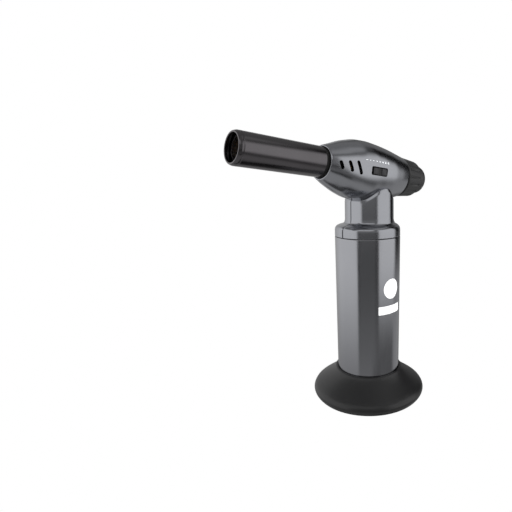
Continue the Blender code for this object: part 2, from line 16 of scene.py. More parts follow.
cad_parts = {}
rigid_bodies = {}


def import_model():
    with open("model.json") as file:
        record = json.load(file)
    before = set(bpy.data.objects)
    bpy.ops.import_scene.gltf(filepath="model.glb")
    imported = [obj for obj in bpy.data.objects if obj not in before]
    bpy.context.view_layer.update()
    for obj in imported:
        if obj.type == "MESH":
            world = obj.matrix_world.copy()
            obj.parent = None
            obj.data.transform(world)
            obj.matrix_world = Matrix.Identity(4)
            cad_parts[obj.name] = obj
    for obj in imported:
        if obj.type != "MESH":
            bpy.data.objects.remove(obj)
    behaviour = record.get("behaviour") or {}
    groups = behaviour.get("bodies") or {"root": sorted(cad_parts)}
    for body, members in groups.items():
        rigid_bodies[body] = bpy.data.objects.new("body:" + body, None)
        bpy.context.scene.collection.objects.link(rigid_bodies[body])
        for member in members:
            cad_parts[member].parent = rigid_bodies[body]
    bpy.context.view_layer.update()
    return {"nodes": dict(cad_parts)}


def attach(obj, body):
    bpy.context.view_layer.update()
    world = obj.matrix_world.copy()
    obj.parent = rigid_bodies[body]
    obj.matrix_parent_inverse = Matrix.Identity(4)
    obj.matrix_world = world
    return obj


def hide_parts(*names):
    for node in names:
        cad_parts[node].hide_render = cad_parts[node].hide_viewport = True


for old in list(bpy.data.objects):
    bpy.data.objects.remove(old, do_unlink=True)
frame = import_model()

MM = 0.001
HALF_SPLIT = 0.15  # each shell half ends this far from the middle plane

# Camera
CAMERA_PLACE = (263.55, 278.22, 197.57)
CAMERA_TURN = (85.969, 0.473, 137.895)  # degrees
CAMERA_LENS = 29.439
CAMERA_SHIFT = (-0.1978, -0.0933)

# Head axis
HEAD_HEIGHT = 205.7
HEAD_TILT = 0.1114  # radians
KNOB_DROP = 2.1  # the dial and the button sit this far under the head's axis
head_matrix = Matrix.Translation((0, 0, HEAD_HEIGHT * MM)) @ Matrix.Rotation(-HEAD_TILT, 4, "Y")
knob_matrix = head_matrix @ Matrix.Translation((0, 0, -KNOB_DROP * MM))
upright = Matrix.Identity(4)


# ---------------------------------------------------------------- materials
def new_material(name):
    """A material with its nodes, links and shader."""
    made = bpy.data.materials.new(name)
    made.use_nodes = True
    return made, made.node_tree.nodes, made.node_tree.links, made.node_tree.nodes["Principled BSDF"]


NOISE_LOW, NOISE_HIGH = 0.3, 0.7  # nearly all of the noise lies between these
NOISE_ROUGHNESS = 0.55


def ramp(nodes, links, source, low, high):
    """A ramp from one number to another, driven by noise."""
    made = nodes.new("ShaderNodeMapRange")
    made.inputs["From Min"].default_value, made.inputs["From Max"].default_value = NOISE_LOW, NOISE_HIGH
    made.inputs["To Min"].default_value, made.inputs["To Max"].default_value = low, high
    links.new(source, made.inputs["Value"])
    return made.outputs["Result"]


def noise(nodes, links, scale, detail, stretch=(1, 1, 1)):
    """Noise in object space, stretched along the axes; scale is per metre."""
    coordinates = nodes.new("ShaderNodeTexCoord")
    mapping = nodes.new("ShaderNodeMapping")
    mapping.inputs["Scale"].default_value = stretch
    links.new(coordinates.outputs["Object"], mapping.inputs["Vector"])
    made = nodes.new("ShaderNodeTexNoise")
    made.inputs["Scale"].default_value = scale
    made.inputs["Detail"].default_value = detail
    made.inputs["Roughness"].default_value = NOISE_ROUGHNESS
    links.new(mapping.outputs["Vector"], made.inputs["Vector"])
    return made.outputs["Fac"]


def add_bump(nodes, links, shader, height, strength, distance):
    """Bumps the shader's normal; the distance is in metres."""
    bump = nodes.new("ShaderNodeBump")
    bump.inputs["Strength"].default_value = strength
    bump.inputs["Distance"].default_value = distance
    links.new(height, bump.inputs["Height"])
    links.new(bump.outputs["Normal"], shader.inputs["Normal"])


MOTTLE_SCALE = 45.0
MOTTLE_DETAIL, GRAIN_DETAIL = 3.0, 5.0
COAT_ROUGHNESS = 0.12


def finish_of(
    name, colour, metallic, rough, spread=0.05, tint=0.06, grain=900.0, stretch=(1, 1, 1), bump=0.1,
    depth=0.00004, coat=0.0,
):
    """A surface with mottled colour, and with a fine grain in its roughness and its bump."""
    made, nodes, links, shader = new_material(name)
    shader.inputs["Metallic"].default_value = metallic
    shader.inputs["Coat Weight"].default_value = coat
    shader.inputs["Coat Roughness"].default_value = COAT_ROUGHNESS
    broad = noise(nodes, links, MOTTLE_SCALE, MOTTLE_DETAIL)
    fine = noise(nodes, links, grain, GRAIN_DETAIL, stretch)
    mix = nodes.new("ShaderNodeMix")
    mix.data_type = "RGBA"
    mix.inputs["A"].default_value = (*[value * (1 - tint) for value in colour], 1)
    mix.inputs["B"].default_value = (*[min(value * (1 + tint), 1) for value in colour], 1)
    links.new(broad, mix.inputs["Factor"])
    links.new(mix.outputs["Result"], shader.inputs["Base Color"])
    links.new(ramp(nodes, links, fine, rough - spread, rough + spread), shader.inputs["Roughness"])
    add_bump(nodes, links, shader, fine, bump, depth)
    return made


GUNMETAL = finish_of("gunmetal_paint", (0.36, 0.367, 0.392), 1.0, 0.19, 0.03, 0.03, 2600.0, bump=0.05)
SLEEVE_METAL = finish_of(
    "gunmetal_sleeve", (0.355, 0.36, 0.382), 1.0, 0.17, 0.03, 0.03, 1500.0, (1, 1, 0.04), 0.04, 0.00002
)
BASE_PLASTIC = finish_of("moulded_black", (0.0055, 0.0055, 0.0058), 0.0, 0.36, 0.06, 0.1, 3200.0, bump=0.22)
KNOB_PLASTIC = finish_of("knob_black", (0.0125, 0.0125, 0.013), 0.0, 0.42, 0.06, 0.1, 3000.0, bump=0.25)
SLIDER_PLASTIC = finish_of("slider_black", (0.004, 0.004, 0.0045), 0.0, 0.5, 0.05, 0.1, 3000.0, bump=0.15)
PAD_PLASTIC = finish_of("slider_pads", (0.02, 0.02, 0.022), 0.0, 0.32, 0.05, 0.1, 3000.0, bump=0.15)
WHITE_PLASTIC = finish_of("white_plastic", (0.75, 0.75, 0.72), 0.0, 0.45, 0.05, 0.03, 1200.0)
RUBBER = finish_of("black_rubber", (0.02, 0.02, 0.02), 0.0, 0.7, 0.06, 0.1, 1500.0, bump=0.3)
BRASS = finish_of("turned_brass", (0.66, 0.46, 0.20), 1.0, 0.3, 0.08, 0.1, 1400.0, (1, 6, 6))
STEEL = finish_of("turned_steel", (0.5, 0.5, 0.51), 1.0, 0.3, 0.08, 0.06, 1400.0, (1, 6, 6))
LINER_STEEL = finish_of("heat_stained_steel", (0.30, 0.29, 0.30), 1.0, 0.35, 0.1, 0.25, 700.0)
CERAMIC = finish_of("ceramic", (0.8, 0.78, 0.72), 0.0, 0.3, 0.05, 0.04, 900.0, coat=0.3)
LEAD_RED = finish_of("silicone_red", (0.42, 0.02, 0.015), 0.0, 0.45, 0.05, 0.08, 900.0)
FELT = finish_of("felt", (0.75, 0.73, 0.67), 0.0, 0.9, 0.05, 0.1, 5000.0, bump=0.8)


# ---------------------------------------------------------------- mesh helpers
SHARP_ANGLE = math.radians(35)


def make_piece(name, points, faces, material, matrix, body, nodes=()):
    """An object from points in millimetres, riding a body and replacing CAD nodes where they are given."""
    mesh = bpy.data.meshes.new(name)
    mesh.from_pydata([[float(value) * MM for value in point] for point in points], [], faces)
    work = bmesh.new()
    work.from_mesh(mesh)
    bmesh.ops.recalc_face_normals(work, faces=work.faces)
    work.to_mesh(mesh)
    work.free()
    mesh.transform(matrix)
    mesh.shade_smooth()
    mesh.set_sharp_from_angle(angle=SHARP_ANGLE)
    if material:
        mesh.materials.append(material)
    made = bpy.data.objects.new(name, mesh)
    bpy.context.scene.collection.objects.link(made)
    if body:
        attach(made, body)
    if nodes:
        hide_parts(*nodes)
    return made


def rounded(profile, steps=5):
    """Profile points of (radius, station, fillet) with each corner turned into an arc-like curve."""
    made = []
    count = len(profile)
    for index, (radius, station, fillet) in enumerate(profile):
        corner = np.array((radius, station), float)
        if not fillet:
            made.append(tuple(corner))
            continue
        before = np.array(profile[index - 1][:2], float)
        after = np.array(profile[(index + 1) % count][:2], float)
        start = corner + (before - corner) / np.linalg.norm(before - corner) * fillet
        end = corner + (after - corner) / np.linalg.norm(after - corner) * fillet
        for part in np.linspace(0, 1, steps + 1):
            made.append(tuple((1 - part) ** 2 * start + 2 * part * (1 - part) * corner + part**2 * end))
    return made


def turned(name, profile, material, matrix, body, nodes, along="Z", steps=128, shape=None):
    """A closed profile of (radius, station) turned about an axis. Shape may change each radius by angle."""
    points, rings, faces = [], [], []
    for radius, station in profile:
        if radius == 0:
            rings.append([len(points)] * steps)
            points.append((0.0, 0.0, station))
            continue
        rings.append(list(range(len(points), len(points) + steps)))
        for step in range(steps):
            angle = math.tau * step / steps
            reach = shape(radius, station, angle) if shape else radius
            points.append((reach * math.cos(angle), reach * math.sin(angle), station))
    for ring, following in zip(rings, rings[1:] + rings[:1]):
        for step in range(steps):
            after = (step + 1) % steps
            corners = list(dict.fromkeys([ring[step], ring[after], following[after], following[step]]))
            if len(corners) > 2:
                faces.append(corners)
    if along == "X":
        points = [(station, across, up) for across, up, station in points]
    return make_piece(name, points, faces, material, matrix, body, nodes)


def shell(name, outer, inner, material, matrix, body, nodes):
    """A sheet with thickness from two grids of points that match row by row."""
    rows, columns = len(outer), len(outer[0])
    points = [point for row in outer for point in row] + [point for row in inner for point in row]
    inside = rows * columns
    faces = []
    for row in range(rows - 1):
        for column in range(columns - 1):
            here = row * columns + column
            quad = [here, here + 1, here + columns + 1, here + columns]
            faces.append(quad)
            faces.append([corner + inside for corner in reversed(quad)])
    border = list(range(columns))
    border += [row * columns + columns - 1 for row in range(1, rows)]
    border += [(rows - 1) * columns + column for column in range(columns - 2, -1, -1)]
    border += [row * columns for row in range(rows - 2, 0, -1)]
    for here, there in zip(border, border[1:] + border[:1]):
        faces.append([here, there, there + inside, here + inside])
    return make_piece(name, points, faces, material, matrix, body, nodes)


def combine(target, tool, operation="DIFFERENCE"):
    """Cuts a tool out of a piece, or joins it on, for good and removes the tool."""
    modifier = target.modifiers.new("combine", "BOOLEAN")
    modifier.operation = operation
    modifier.solver = "EXACT"
    modifier.object = tool
    graph = bpy.context.evaluated_depsgraph_get()
    cut_mesh = bpy.data.meshes.new_from_object(target.evaluated_get(graph))
    target.modifiers.clear()
    cut_mesh.set_sharp_from_angle(angle=SHARP_ANGLE)
    target.data = cut_mesh
    bpy.data.objects.remove(tool, do_unlink=True)


SLOT_END_STEPS = 12
CORNER_STEPS = 6
ROD_SIDES = 40
BLOCK_SEGMENTS = 4


def slot_tool(station, height, length, width, lean, y_low, y_high):
    """A prism along Y with an outline that has fully rounded ends, for vent slots."""
    outline = []
    for end, start in ((1, 0.0), (-1, math.pi)):
        for step in range(SLOT_END_STEPS + 1):
            angle = start + math.pi * step / SLOT_END_STEPS
            across = math.cos(angle) * width / 2
            along = end * (length - width) / 2 + math.sin(angle) * width / 2
            turned_x = across * math.cos(lean) + along * math.sin(lean)
            turned_z = along * math.cos(lean) - across * math.sin(lean)
            outline.append((station + turned_x, height + turned_z))
    return prism(outline, y_low, y_high)


def prism(outline, y_low, y_high, matrix=head_matrix):
    """A closed prism along Y from an outline of (X, Z) points, in the head's axes unless told otherwise."""
    count = len(outline)
    points = [(x, y_low, z) for x, z in outline] + [(x, y_high, z) for x, z in outline]
    faces = [list(range(count)), list(range(count, 2 * count))]
    for here in range(count):
        after = (here + 1) % count
        faces.append([here, after, after + count, here + count])
    return make_piece("tool", points, faces, None, matrix, None)


def circle(middle, radius, steps):
    """Points round a circle."""
    turns = np.linspace(0, math.tau, steps, endpoint=False)
    return [(middle[0] + radius * math.cos(turn), middle[1] + radius * math.sin(turn)) for turn in turns]


# Sunk screws hold the shell halves together. Their posts and bores end short of the split, measured along Y.
POST_RADIUS, POST_END = 3.6, -6.0
BORE_RADIUS, BORE_END = 2.7, -8.0
BORE_BEYOND = 9.0  # the cut goes this far past the post's outer end, clear through the shell


def sink_screw(shell_piece, station, height, reach, matrix):
    """A post inside a -Y shell half with a counterbore that lets its screw in from outside."""
    post, bore = [circle((station, height), radius, ROD_SIDES) for radius in (POST_RADIUS, BORE_RADIUS)]
    combine(shell_piece, prism(post, -reach, POST_END, matrix), "UNION")
    combine(shell_piece, prism(bore, -reach - BORE_BEYOND, BORE_END, matrix))


def rounded_box_outline(low, high, radius):
    """A rectangle's outline with rounded corners."""
    outline = []
    corners = ((high[0], high[1], 0), (low[0], high[1], 90), (low[0], low[1], 180), (high[0], low[1], 270))
    for x, z, start in corners:
        centre_x = x - radius if start in (0, 270) else x + radius
        centre_z = z - radius if start in (0, 90) else z + radius
        for step in range(CORNER_STEPS + 1):
            angle = math.radians(start + 90 * step / CORNER_STEPS)
            outline.append((centre_x + radius * math.cos(angle), centre_z + radius * math.sin(angle)))
    return outline


def soft_block(low, high, radius, matrix):
    """A closed box with rounded edges."""
    corners = [(x, y, z) for x in (low[0], high[0]) for y in (low[1], high[1]) for z in (low[2], high[2])]
    faces = [(0, 1, 3, 2), (4, 6, 7, 5), (0, 4, 5, 1), (2, 3, 7, 6), (0, 2, 6, 4), (1, 5, 7, 3)]
    made = make_piece("tool", corners, faces, None, upright, None)
    work = bmesh.new()
    work.from_mesh(made.data)
    bmesh.ops.bevel(
        work, geom=list(work.edges), offset=radius * MM, segments=BLOCK_SEGMENTS, profile=0.5,
        affect="EDGES", clamp_overlap=True,
    )
    work.to_mesh(made.data)
    work.free()
    made.data.transform(matrix)
    made.data.shade_smooth()
    made.data.set_sharp_from_angle(angle=SHARP_ANGLE)
    return made


PRINT_RISE, PRINT_ROOT = 0.05, -0.1  # the print's top and underside, over the surface


def printed(name, outlines, surface, material, matrix, body, rings=6):
    """Thin printed patches on a surface. Each outline is a closed list of places on the surface, and
    surface(place, rise) gives the point that high above it."""
    points, faces = [], []
    for outline in outlines:
        count, start = len(outline), len(points)
        middle = np.mean(outline, axis=0)
        points.append(surface(middle, PRINT_RISE))
        for ring in range(1, rings + 1):
            for place in outline:
                points.append(surface(middle + (np.array(place) - middle) * ring / rings, PRINT_RISE))
        points.extend(surface(place, PRINT_ROOT) for place in outline)
        points.append(surface(middle, PRINT_ROOT))
        last = len(points) - 1
        for step in range(count):
            after = (step + 1) % count
            faces.append((start, start + 1 + step, start + 1 + after))
            for ring in range(rings):
                here = start + 1 + ring * count
                faces.append((here + step, here + count + step, here + count + after, here + after))
            root = start + 1 + rings * count
            faces.append((root + after, root + step, last))
    return make_piece(name, points, faces, material, matrix, body)


# ---------------------------------------------------------------- stand and tank
BASE_TOP = 24.3
PAD_SEAT_RADIUS, PAD_SEAT_TOP = 46.4, 1.9
SOCKET_RADIUS, SOCKET_FLOOR = 28.4, 5.0
turned(
    "stand",
    rounded(
        [
            (0, PAD_SEAT_TOP, 0), (PAD_SEAT_RADIUS, PAD_SEAT_TOP, 0), (PAD_SEAT_RADIUS, 0.3, 0),
            (47.9, 0.3, 0.6), (49.9, 2.4, 1.6), (50.9, 5.4, 1.6), (49.4, 8.6, 1.6), (47.0, 10.6, 1.6),
            (42.0, 13.8, 3.0), (37.6, 16.8, 3.0), (34.0, 19.7, 2.0), (31.4, 22.4, 1.4),
            (30.1, BASE_TOP, 0.5), (SOCKET_RADIUS, BASE_TOP, 0.2), (SOCKET_RADIUS, SOCKET_FLOOR, 0),
            (0, SOCKET_FLOOR, 0),
        ]
    ),
    BASE_PLASTIC, upright, "base", ["base_stand"],
)
SLEEVE_LOW_RADIUS, SLEEVE_HIGH_RADIUS = 28.15, 30.0
SLEEVE_INNER_RADIUS = 27.25
SLEEVE_BOTTOM, SLEEVE_TOP, SLEEVE_RIM = 5.4, 145.0, 145.3
turned(
    "sleeve",
    rounded(
        [
            (27.5, SLEEVE_BOTTOM, 0.2), (SLEEVE_LOW_RADIUS, 6.0, 0.3), (SLEEVE_LOW_RADIUS, BASE_TOP, 0),
            (SLEEVE_HIGH_RADIUS, SLEEVE_TOP, 0.3), (29.7, SLEEVE_RIM, 0.1), (29.1, SLEEVE_RIM, 0),
            (SLEEVE_INNER_RADIUS, BASE_TOP, 0), (SLEEVE_INNER_RADIUS, SLEEVE_BOTTOM, 0),
        ]
    ),
    SLEEVE_METAL, upright, "torch", ["tank_sleeve"], steps=192,
)

# A plain disc over a plain bar is printed on the +Y side.
PRINT_WHITE = finish_of("print_white", (0.86, 0.86, 0.86), 0.0, 0.4, 0.04, 0.02, 1800.0)


def on_sleeve(place, rise):
    """A point over the sleeve: the place is the arc length round from +Y towards +X, and the height."""
    along, height = place
    part = (height - BASE_TOP) / (SLEEVE_TOP - BASE_TOP)
    radius = SLEEVE_LOW_RADIUS + (SLEEVE_HIGH_RADIUS - SLEEVE_LOW_RADIUS) * part + rise
    angle = math.pi / 2 - along / radius
    return (radius * math.cos(angle), radius * math.sin(angle), height)


def rectangle(low, high, steps=16):
    """A rectangle's outline with steps points on each side."""
    corners = [(low[0], low[1]), (high[0], low[1]), (high[0], high[1]), (low[0], high[1])]
    outline = []
    for here, there in zip(corners, corners[1:] + corners[:1]):
        for step in range(steps):
            part = step / steps
            outline.append((here[0] + (there[0] - here[0]) * part, here[1] + (there[1] - here[1]) * part))
    return outline


DISC_MIDDLE, DISC_RADIUS = (-1.0, 101.0), 8.8
BAR_LOW, BAR_HIGH = (-12.6, 79.0), (12.6, 86.2)
sleeve_marks = [circle(DISC_MIDDLE, DISC_RADIUS, 64), rectangle(BAR_LOW, BAR_HIGH)]
printed("sleeve_print", sleeve_marks, on_sleeve, PRINT_WHITE, upright, "torch")

# ---------------------------------------------------------------- head outline
HEAD_WALL = 1.8
# station on the head's axis, radius up, radius down, half width
HEAD_SECTIONS = np.array(
    (
        (-34.0, 17.7, 22.7, 20.3),
        (-27.4, 19.0, 24.5, 21.7),
        (-14.7, 21.6, 27.7, 23.8),
        (-2.1, 23.4, 29.4, 24.8),
        (10.5, 24.6, 29.6, 25.2),
        (23.2, 24.1, 27.3, 24.3),
        (35.8, 20.9, 23.4, 21.4),
        (46.3, 16.8, 18.9, 17.6),
        (51.6, 14.9, 15.8, 15.2),
    )
)
SMOOTH_REACH, DENSE_STEP = 6.0, 0.25
dense = np.arange(-60.0, 75.0, DENSE_STEP)
window = np.hanning(int(2 * SMOOTH_REACH / DENSE_STEP) + 1)
window /= window.sum()
stations, *size_columns = HEAD_SECTIONS.T
smoothed = []
for sizes in size_columns:
    # Past both ends the outline goes on in a straight line, so smoothing doesn't pull the ends in.
    front_slope = (sizes[-1] - sizes[-2]) / (stations[-1] - stations[-2])
    rear_slope = (sizes[1] - sizes[0]) / (stations[1] - stations[0])
    straight = np.interp(dense, stations, sizes)
    straight = np.where(dense > stations[-1], sizes[-1] + front_slope * (dense - stations[-1]), straight)
    straight = np.where(dense < stations[0], sizes[0] + rear_slope * (dense - stations[0]), straight)
    smoothed.append(np.convolve(straight, window, mode="same"))

HEAD_REAR, HEAD_FRONT = -37.0, 53.1
REAR_ROUND, FRONT_ROUND = 1.6, 0.7


def head_sizes(station, inset):
    """Radius up, radius down and half width of the head, with rounded rims at both ends."""
    sizes = [float(np.interp(station, dense, column)) for column in smoothed]
    rear = station - HEAD_REAR
    front = HEAD_FRONT - station
    if rear < REAR_ROUND:
        inset += REAR_ROUND - math.sqrt(max(REAR_ROUND**2 - (REAR_ROUND - rear) ** 2, 0.0))
    if front < FRONT_ROUND:
        inset += FRONT_ROUND - math.sqrt(max(FRONT_ROUND**2 - (FRONT_ROUND - front) ** 2, 0.0))
    return [size - inset for size in sizes]


FULL_STATION, FULL_REACH, FULL_POWER = 22.0, 24.0, 0.35


def underside_power(station):
    """Exponent of the outline under the head: 2 for an ellipse, more where it is fuller."""
    part = min(abs(station - FULL_STATION) / FULL_REACH, 1.0)
    return 2.0 + FULL_POWER * (0.5 + 0.5 * math.cos(math.pi * part))


def soft_step(value, start, end):
    """0 before the start, 1 past the end, and a smooth rise between them."""
    part = min(max((value - start) / (end - start), 0.0), 1.0)
    return part * part * (3 - 2 * part)


# ---------------------------------------------------------------- neck
NECK_RADIUS = 22.5
NECK_OFFSET = -2.4
NECK_STRETCH = 1.06  # the neck is this much longer behind its centre
NECK_WALL = 1.6
LIP_WIDTH, LIP_DROP = 1.9, 0.6
# The wall's top edge leans in towards the head: each row is its depth below the edge and its step inwards.
# The lean is full at the sides and fades out towards the front and the back, by the sine of the angle.
LEAN_NONE, LEAN_FULL = 0.38, 0.74
LIP_PROFILE = ((4.4, 0.0), (3.3, 0.0), (3.0, 0.03), (2.7, 0.1), (0.5, 0.78), (0.15, 0.92), (0.0, 1.1))
LIP_INNER_DROP = 0.6
SEAM_BEVEL = 0.45
COLLAR_BOTTOM = 145.7
SADDLE_LOW = 177.8
SADDLE_RISE = 11.5
SADDLE_POWER = 3.2
NECK_PROFILE = rounded(
    [
        (29.7, COLLAR_BOTTOM, 0.1), (30.0, 146.0, 0.2), (30.0, 150.6, 0.5), (30.0, 154.9, 3.6),
        (23.5, 157.0, 1.0), (NECK_RADIUS, 159.6, 2.0), (NECK_RADIUS, 165.0, 0), (NECK_RADIUS, 172.0, 0),
    ],
    8,
)
SHOULDER_HEIGHT, SHOULDER_RISE = 154.8, 3.6
COLLAR_OUTSIDE = 29.4  # the inner face of the collar is straight, as if the collar were this wide
# Behind each cheek of the neck the wall steps in by a little.
CHEEK_END, CHEEK_SPAN, CHEEK_STEP = math.radians(103), math.radians(1.2), 0.7
CHEEK_LOW, CHEEK_HIGH = 157.0, 158.6  # the step grows to its full depth between these heights
NECK_COLUMNS = 60


def half_angles(radius, count, edge=0.4):
    """Angles over half a turn, with one narrow column at each parting edge for its chamfer."""
    first = math.asin(HALF_SPLIT / radius)
    second = math.asin((HALF_SPLIT + edge) / radius)
    middle = np.linspace(second, math.pi - second, count)
    return [first, *middle, math.pi - first]


def ring_row(centre, radius, height, angles, side, chamfer, step_in, stretch):
    """Points round half of the neck. Radius and height are each one number, or a list with one per angle."""
    row = []
    last = len(angles) - 1
    for index, angle in enumerate(angles):
        reach = radius[index] if isinstance(radius, list) else radius
        reach -= chamfer if index in (0, last) else 0.0
        reach -= step_in * soft_step(angle, CHEEK_END, CHEEK_END + CHEEK_SPAN)
        level = height[index] if isinstance(height, list) else height
        y = HALF_SPLIT if index in (0, last) else reach * math.sin(angle)
        x = centre + reach * (stretch if angle > math.pi / 2 else 1.0) * math.cos(angle)
        row.append((x, side * y, level))
    return row


def under_head(radius, angle):
    """Height of the head's underside over a point round the neck."""
    x = NECK_OFFSET + radius * math.cos(angle) * (NECK_STRETCH if angle > math.pi / 2 else 1.0)
    y = radius * math.sin(angle)
    drop = 0.0
    for _ in range(8):
        station = (x - drop * math.sin(HEAD_TILT)) / math.cos(HEAD_TILT)
        _, down, half = head_sizes(station, 0.0)
        power = underside_power(station)
        drop = -down * (1 - (y / half) ** power) ** (1 / power)
    return HEAD_HEIGHT + station * math.sin(HEAD_TILT) + drop * math.cos(HEAD_TILT)


def make_neck_half(name, side, node):
    """The collar and the neck on one side of the split, up to the head's underside."""
    cheek = [CHEEK_END + math.radians(turn) for turn in (-0.4, 0.0, 0.4, 0.8, 1.2, 1.6)]
    angles = sorted(half_angles(NECK_RADIUS, NECK_COLUMNS) + cheek)
    outer, inner = [], []
    for radius, height in NECK_PROFILE:
        leave = soft_step(height, SHOULDER_HEIGHT, SHOULDER_HEIGHT + SHOULDER_RISE)
        centre, stretch = NECK_OFFSET * leave, 1 + (NECK_STRETCH - 1) * leave
        step_in = CHEEK_STEP * soft_step(height, CHEEK_LOW, CHEEK_HIGH)
        outer.append(ring_row(centre, radius, height, angles, side, SEAM_BEVEL, step_in, stretch))
        inside = min(radius, COLLAR_OUTSIDE) - NECK_WALL
        inner.append(ring_row(centre, inside, height, angles, side, 0, 0, stretch))
    lip_radius, inner_radius = NECK_RADIUS - LIP_WIDTH, NECK_RADIUS - NECK_WALL
    walls = [SADDLE_LOW - LIP_DROP + SADDLE_RISE * abs(math.sin(angle)) ** SADDLE_POWER for angle in angles]
    meets = [under_head(lip_radius, angle) - 0.05 for angle in angles]
    lean_share = [soft_step(math.sin(angle), LEAN_NONE, LEAN_FULL) for angle in angles]
    for drop, lean in LIP_PROFILE:
        level = [wall - drop for wall in walls]
        radius = [NECK_RADIUS - lean * share for share in lean_share]
        outer.append(ring_row(NECK_OFFSET, radius, level, angles, side, SEAM_BEVEL, CHEEK_STEP, NECK_STRETCH))
        under = [value - LIP_INNER_DROP for value in level]
        inner.append(ring_row(NECK_OFFSET, inner_radius, under, angles, side, 0, 0, NECK_STRETCH))
    outer.append(ring_row(NECK_OFFSET, lip_radius, meets, angles, side, SEAM_BEVEL, CHEEK_STEP, NECK_STRETCH))
    under = [min(wall, meet) - 0.5 for wall, meet in zip(walls, meets)]
    inner.append(ring_row(NECK_OFFSET, inner_radius, under, angles, side, 0, 0, NECK_STRETCH))
    return shell(name, outer, inner, GUNMETAL, upright, "torch", [node])


make_neck_half("neck_left", 1, "neck_shell_left")
neck_right = make_neck_half("neck_right", -1, "neck_shell_right")
# X, height, and the post's reach along Y
NECK_SCREWS = ((10.7, 168.0, 14.6), (-15.6, 168.0, 14.9))
for screw_x, screw_height, reach in NECK_SCREWS:
    sink_screw(neck_right, screw_x, screw_height, reach, upright)

# ---------------------------------------------------------------- head
HEAD_ROWS, HEAD_COLUMNS = 84, 64
HEAD_BEVEL = 0.25
# The inner face leaves out the rounded rims: past these stations its size stays the same.
INNER_REAR, INNER_FRONT = -35.5, 52.2
MOUTH_START, MOUTH_WALL = 50, 1.3  # the wall is thinner from here to the mouth


def head_row(station, inset, side, angles, chamfer, rims=True):
    """A row of points round half of the head, down from the top."""
    up, down, half = head_sizes(station if rims else min(max(station, INNER_REAR), INNER_FRONT), inset)
    row = []
    last = len(angles) - 1
    for index, angle in enumerate(angles):
        pull = chamfer if index in (0, last) else 0.0
        if angle < math.pi / 2:
            across, vertical = math.sin(angle), math.cos(angle) * (up - pull)
        else:
            bend = 2.0 / underside_power(station)
            across, vertical = math.sin(angle) ** bend, -abs(math.cos(angle)) ** bend * (down - pull)
        y = HALF_SPLIT if index in (0, last) else half * across
        row.append((station, side * y, vertical))
    return row


def make_head_half(name, side, node):
    """The head's shell on one side of the split, its rows closer together on the rounded rims."""
    rear = [HEAD_REAR + step for step in (0, 0.1, 0.35, 0.8, 1.3)]
    front = [HEAD_FRONT - step for step in (0.9, 0.5, 0.25, 0.08, 0.0)]
    along = [*rear, *np.linspace(HEAD_REAR + 2.0, HEAD_FRONT - 1.5, HEAD_ROWS), *front]
    angles = half_angles(20.0, HEAD_COLUMNS, 0.3)
    outer, inner = [], []
    for station in along:
        wall = MOUTH_WALL if station > MOUTH_START else HEAD_WALL
        outer.append(head_row(station, 0.0, side, angles, HEAD_BEVEL))
        inner.append(head_row(station, wall, side, angles, 0, False))
    return shell(name, outer, inner, GUNMETAL, head_matrix, "torch", [node])


head_left = make_head_half("head_left", 1, "head_shell_left")
head_right = make_head_half("head_right", -1, "head_shell_right")
# Cuts along Y run from inside the wall to outside the head.
CUT_OUTSIDE, VENT_INSIDE, WINDOW_INSIDE = 28.0, 12.0, 18.0
VENT_WIDTH, VENT_LEAN = 2.7, 0.38
# station, height, length
VENTS = ((44.8, -1.7, 7.4), (37.0, -1.9, 9.6), (29.2, -2.2, 12.0))
for vent in VENTS:
    combine(head_left, slot_tool(*vent, VENT_WIDTH, VENT_LEAN, VENT_INSIDE, CUT_OUTSIDE))
    combine(head_right, slot_tool(*vent, VENT_WIDTH, VENT_LEAN, -CUT_OUTSIDE, -VENT_INSIDE))
# station, height, and the post's reach along Y
HEAD_SCREWS = ((25.0, 15.5, 14.2), (-24.0, 11.0, 13.2))
for station, height, reach in HEAD_SCREWS:
    sink_screw(head_right, station, height, reach, head_matrix)
WINDOW_LOW, WINDOW_HIGH, WINDOW_CORNER = (-1.8, -6.8), (17.4, 0.6), 1.5
window_outline = rounded_box_outline(WINDOW_LOW, WINDOW_HIGH, WINDOW_CORNER)
combine(head_left, prism(window_outline, WINDOW_INSIDE, CUT_OUTSIDE))

# ---------------------------------------------------------------- burner tube
BURNT = finish_of("burnt_steel", (0.132, 0.125, 0.131), 1.0, 0.2, 0.04, 0.1, 1200.0, (0.05, 1, 1), 0.05)
# Matt black painted shade for the gap between the head's rim and the tube.
GAP_SHADE_BLACK = finish_of("painted_gap_shade", (0.004, 0.004, 0.004), 0.0, 0.85, 0.05, 0.1, 1500.0, bump=0.3)
# The tube is narrower where it leaves the head, and that narrow part is matt black: painted shade for the
# deep gap under the head's rim.
NARROW_RADIUS, NARROW_END = 12.35, 55.9
TUBE_RADIUS, TUBE_BORE = 13.0, 12.0
TUBE_BACK, TUBE_MOUTH = 38.0, 131.7
to_head = head_matrix.inverted()
burner = turned(
    "burner",
    rounded(
        [
            (12.9, 40.0, 0), (12.9, 52.2, 0), (NARROW_RADIUS, 52.6, 0), (NARROW_RADIUS, NARROW_END, 0),
            (TUBE_RADIUS, NARROW_END, 0.5), (TUBE_RADIUS, 127.6, 0.1), (12.65, 127.9, 0.1),
            (12.65, 128.4, 0.1), (TUBE_RADIUS, 128.7, 0.1), (TUBE_RADIUS, 129.3, 0.5), (12.3, 131.3, 0.5),
            (11.9, TUBE_MOUTH, 0.2), (10.8, TUBE_MOUTH, 0.4), (10.8, 130.2, 0.4), (TUBE_BORE, 129.4, 0.3),
            (TUBE_BORE, TUBE_BACK, 0), (15.0, TUBE_BACK, 0), (15.0, 40.0, 0),
        ]
    ),
    BURNT, head_matrix, "torch", ["burner_tube"], "X",
)
burner.data.materials.append(GAP_SHADE_BLACK)
# Faces behind the narrow end take the black painted shade.
for face in burner.data.polygons:
    face.material_index = int((to_head @ face.center).x < (NARROW_END - 0.2) * MM)

